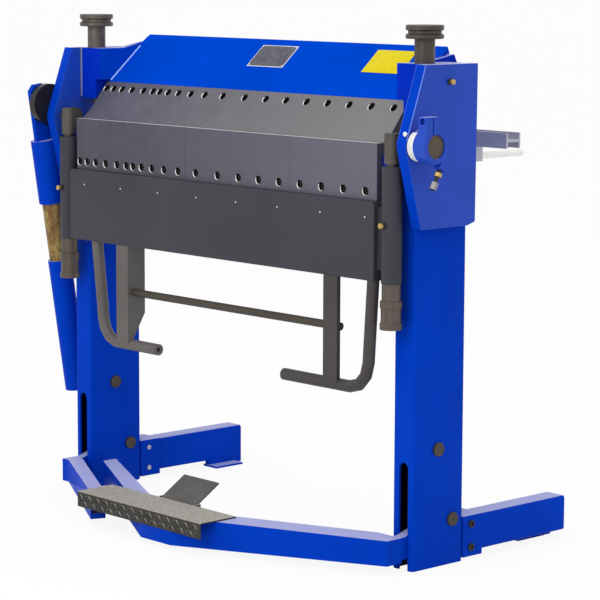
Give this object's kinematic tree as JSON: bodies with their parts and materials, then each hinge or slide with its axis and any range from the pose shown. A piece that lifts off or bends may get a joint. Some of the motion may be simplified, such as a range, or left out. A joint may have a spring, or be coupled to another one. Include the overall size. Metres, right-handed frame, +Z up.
{
  "type": "segmented sheet metal brake",
  "caption": "Foot-clamped box and pan folding machine with segmented fingers, swinging beam, strut and rear gauge.",
  "frame": {"origin": "middle of the bounding box's footprint, on the floor", "axes": "+X along the fold line to the operator's right, +Y to the rear, +Z up"},
  "size_m": [1.3386, 0.886, 1.1465],
  "materials": {
    "blue_paint": "glossy",
    "charcoal_paint": "satin",
    "ground_steel": "brushed",
    "olive_steel": "satin",
    "brown_steel": "satin",
    "bright_steel": "satin",
    "dark_steel": "satin",
    "yellow_zinc": "satin",
    "tread_plate": "satin",
    "aluminium": "satin"
  },
  "bodies": {
    "frame": {"left_column": "blue_paint", "right_column": "blue_paint", "left_head_plate": "blue_paint", "right_head_plate": "blue_paint", "bed_beam": "blue_paint", "bed_blade": "ground_steel", "left_pivot_pin": "dark_steel", "left_guide_pin": "dark_steel", "right_pivot_pin": "dark_steel", "right_guide_pin": "dark_steel", "left_rear_leg": "blue_paint", "right_rear_leg": "blue_paint", "left_gauge_rod": "bright_steel", "right_gauge_rod": "bright_steel", "strut_anchor_pin": "dark_steel"},
    "fold_shafts": {"left_hinge_shaft": "olive_steel", "right_hinge_shaft": "olive_steel", "stop_collar": "blue_paint", "crank_disc": "dark_steel"},
    "folding_beam_unit": {"folding_beam": "charcoal_paint", "left_handle": "charcoal_paint", "right_handle": "charcoal_paint", "handle_rod": "bright_steel", "bend_segment_01": "ground_steel", "bend_segment_02": "ground_steel", "bend_segment_03": "ground_steel", "bend_segment_04": "ground_steel", "bend_segment_05": "ground_steel", "bend_segment_06": "ground_steel", "bend_segment_07": "ground_steel", "bend_segment_08": "ground_steel", "bend_segment_09": "ground_steel", "bend_segment_10": "ground_steel", "bend_segment_11": "ground_steel"},
    "left_adjuster_nut": {"left_adjuster": "brown_steel"},
    "right_adjuster_nut": {"right_adjuster": "brown_steel"},
    "strut_upper": {"strut_upper_tube": "blue_paint"},
    "strut_lower": {"strut_lower_tube": "blue_paint", "strut_inner_tube": "yellow_zinc"},
    "clamp_unit": {"clamp_beam": "blue_paint", "left_tie_rod": "bright_steel", "right_tie_rod": "bright_steel", "clamp_finger_01": "ground_steel", "clamp_finger_02": "ground_steel", "clamp_finger_03": "ground_steel", "clamp_finger_04": "ground_steel", "clamp_finger_05": "ground_steel", "clamp_finger_06": "ground_steel", "clamp_finger_07": "ground_steel", "clamp_finger_08": "ground_steel", "clamp_finger_09": "ground_steel", "clamp_finger_10": "ground_steel", "clamp_finger_11": "ground_steel"},
    "left_knob_body": {"left_knob": "bright_steel"},
    "right_knob_body": {"right_knob": "bright_steel"},
    "pedal_unit": {"pedal_frame": "blue_paint", "pedal_support_arm": "blue_paint", "pedal_tread": "tread_plate"},
    "release": {"release_pedal": "dark_steel"},
    "rear_gauge": {"gauge_bar": "aluminium"}
  },
  "joints": [
    {"name": "fold_hinge", "type": "hinge", "parent": "frame", "child": "fold_shafts", "pos_m": [0, -0.211, 0.904], "axis": [-1, 0, 0], "range_deg": [0, 135]},
    {"name": "beam_height", "type": "slide", "parent": "fold_shafts", "child": "folding_beam_unit", "axis": [0, 0, 1], "range_m": [-0.006, 0]},
    {"name": "left_adjuster_turn", "type": "hinge", "parent": "folding_beam_unit", "child": "left_adjuster_nut", "pos_m": [-0.54475, -0.222, 0.567], "axis": [0, 0, 1], "range_deg": [0, 720]},
    {"name": "right_adjuster_turn", "type": "hinge", "parent": "folding_beam_unit", "child": "right_adjuster_nut", "pos_m": [0.55325, -0.222, 0.567], "axis": [0, 0, 1], "range_deg": [0, 720]},
    {"name": "strut_upper_swing", "type": "hinge", "parent": "fold_shafts", "child": "strut_upper", "pos_m": [-0.63875, -0.24, 0.919], "axis": [-1, 0, 0], "range_deg": [-129.77, 0]},
    {"name": "strut_lower_swing", "type": "hinge", "parent": "frame", "child": "strut_lower", "pos_m": [-0.63875, -0.135, 0.24], "axis": [-1, 0, 0], "range_deg": [0, 5.25]},
    {"name": "pedal_swing", "type": "hinge", "parent": "frame", "child": "pedal_unit", "pos_m": [0, -0.065, 0.098], "axis": [-1, 0, 0], "range_deg": [0, 39]},
    {"name": "clamp_lift", "type": "slide", "parent": "frame", "child": "clamp_unit", "axis": [0, 0, 1], "range_m": [0, 0.047]},
    {"name": "left_knob_turn", "type": "hinge", "parent": "clamp_unit", "child": "left_knob_body", "pos_m": [-0.54775, -0.134, 1.11], "axis": [0, 0, 1], "continuous": true},
    {"name": "right_knob_turn", "type": "hinge", "parent": "clamp_unit", "child": "right_knob_body", "pos_m": [0.55625, -0.134, 1.11], "axis": [0, 0, 1], "continuous": true},
    {"name": "release_tilt", "type": "hinge", "parent": "pedal_unit", "child": "release", "pos_m": [0.00175, -0.3335, 0.076], "axis": [-1, 0, 0], "range_deg": [0, 20], "stiffness_Nm_per_rad": 0.6, "springref_deg": -28.65},
    {"name": "gauge_travel", "type": "slide", "parent": "frame", "child": "rear_gauge", "axis": [0, 1, 0], "range_m": [-0.3, 0.13]}
  ],
  "couplings": [
    {"joint": "strut_upper_swing", "follows": "fold_hinge", "ratio": -0.9612},
    {"joint": "strut_lower_swing", "follows": "fold_hinge", "ratio": 0.0388},
    {"joint": "left_adjuster_turn", "follows": "beam_height", "rad_per_m": -2094},
    {"joint": "right_adjuster_turn", "follows": "beam_height", "rad_per_m": -2094},
    {"joint": "clamp_lift", "follows": "pedal_swing", "m_per_rad": 0.06904}
  ]
}
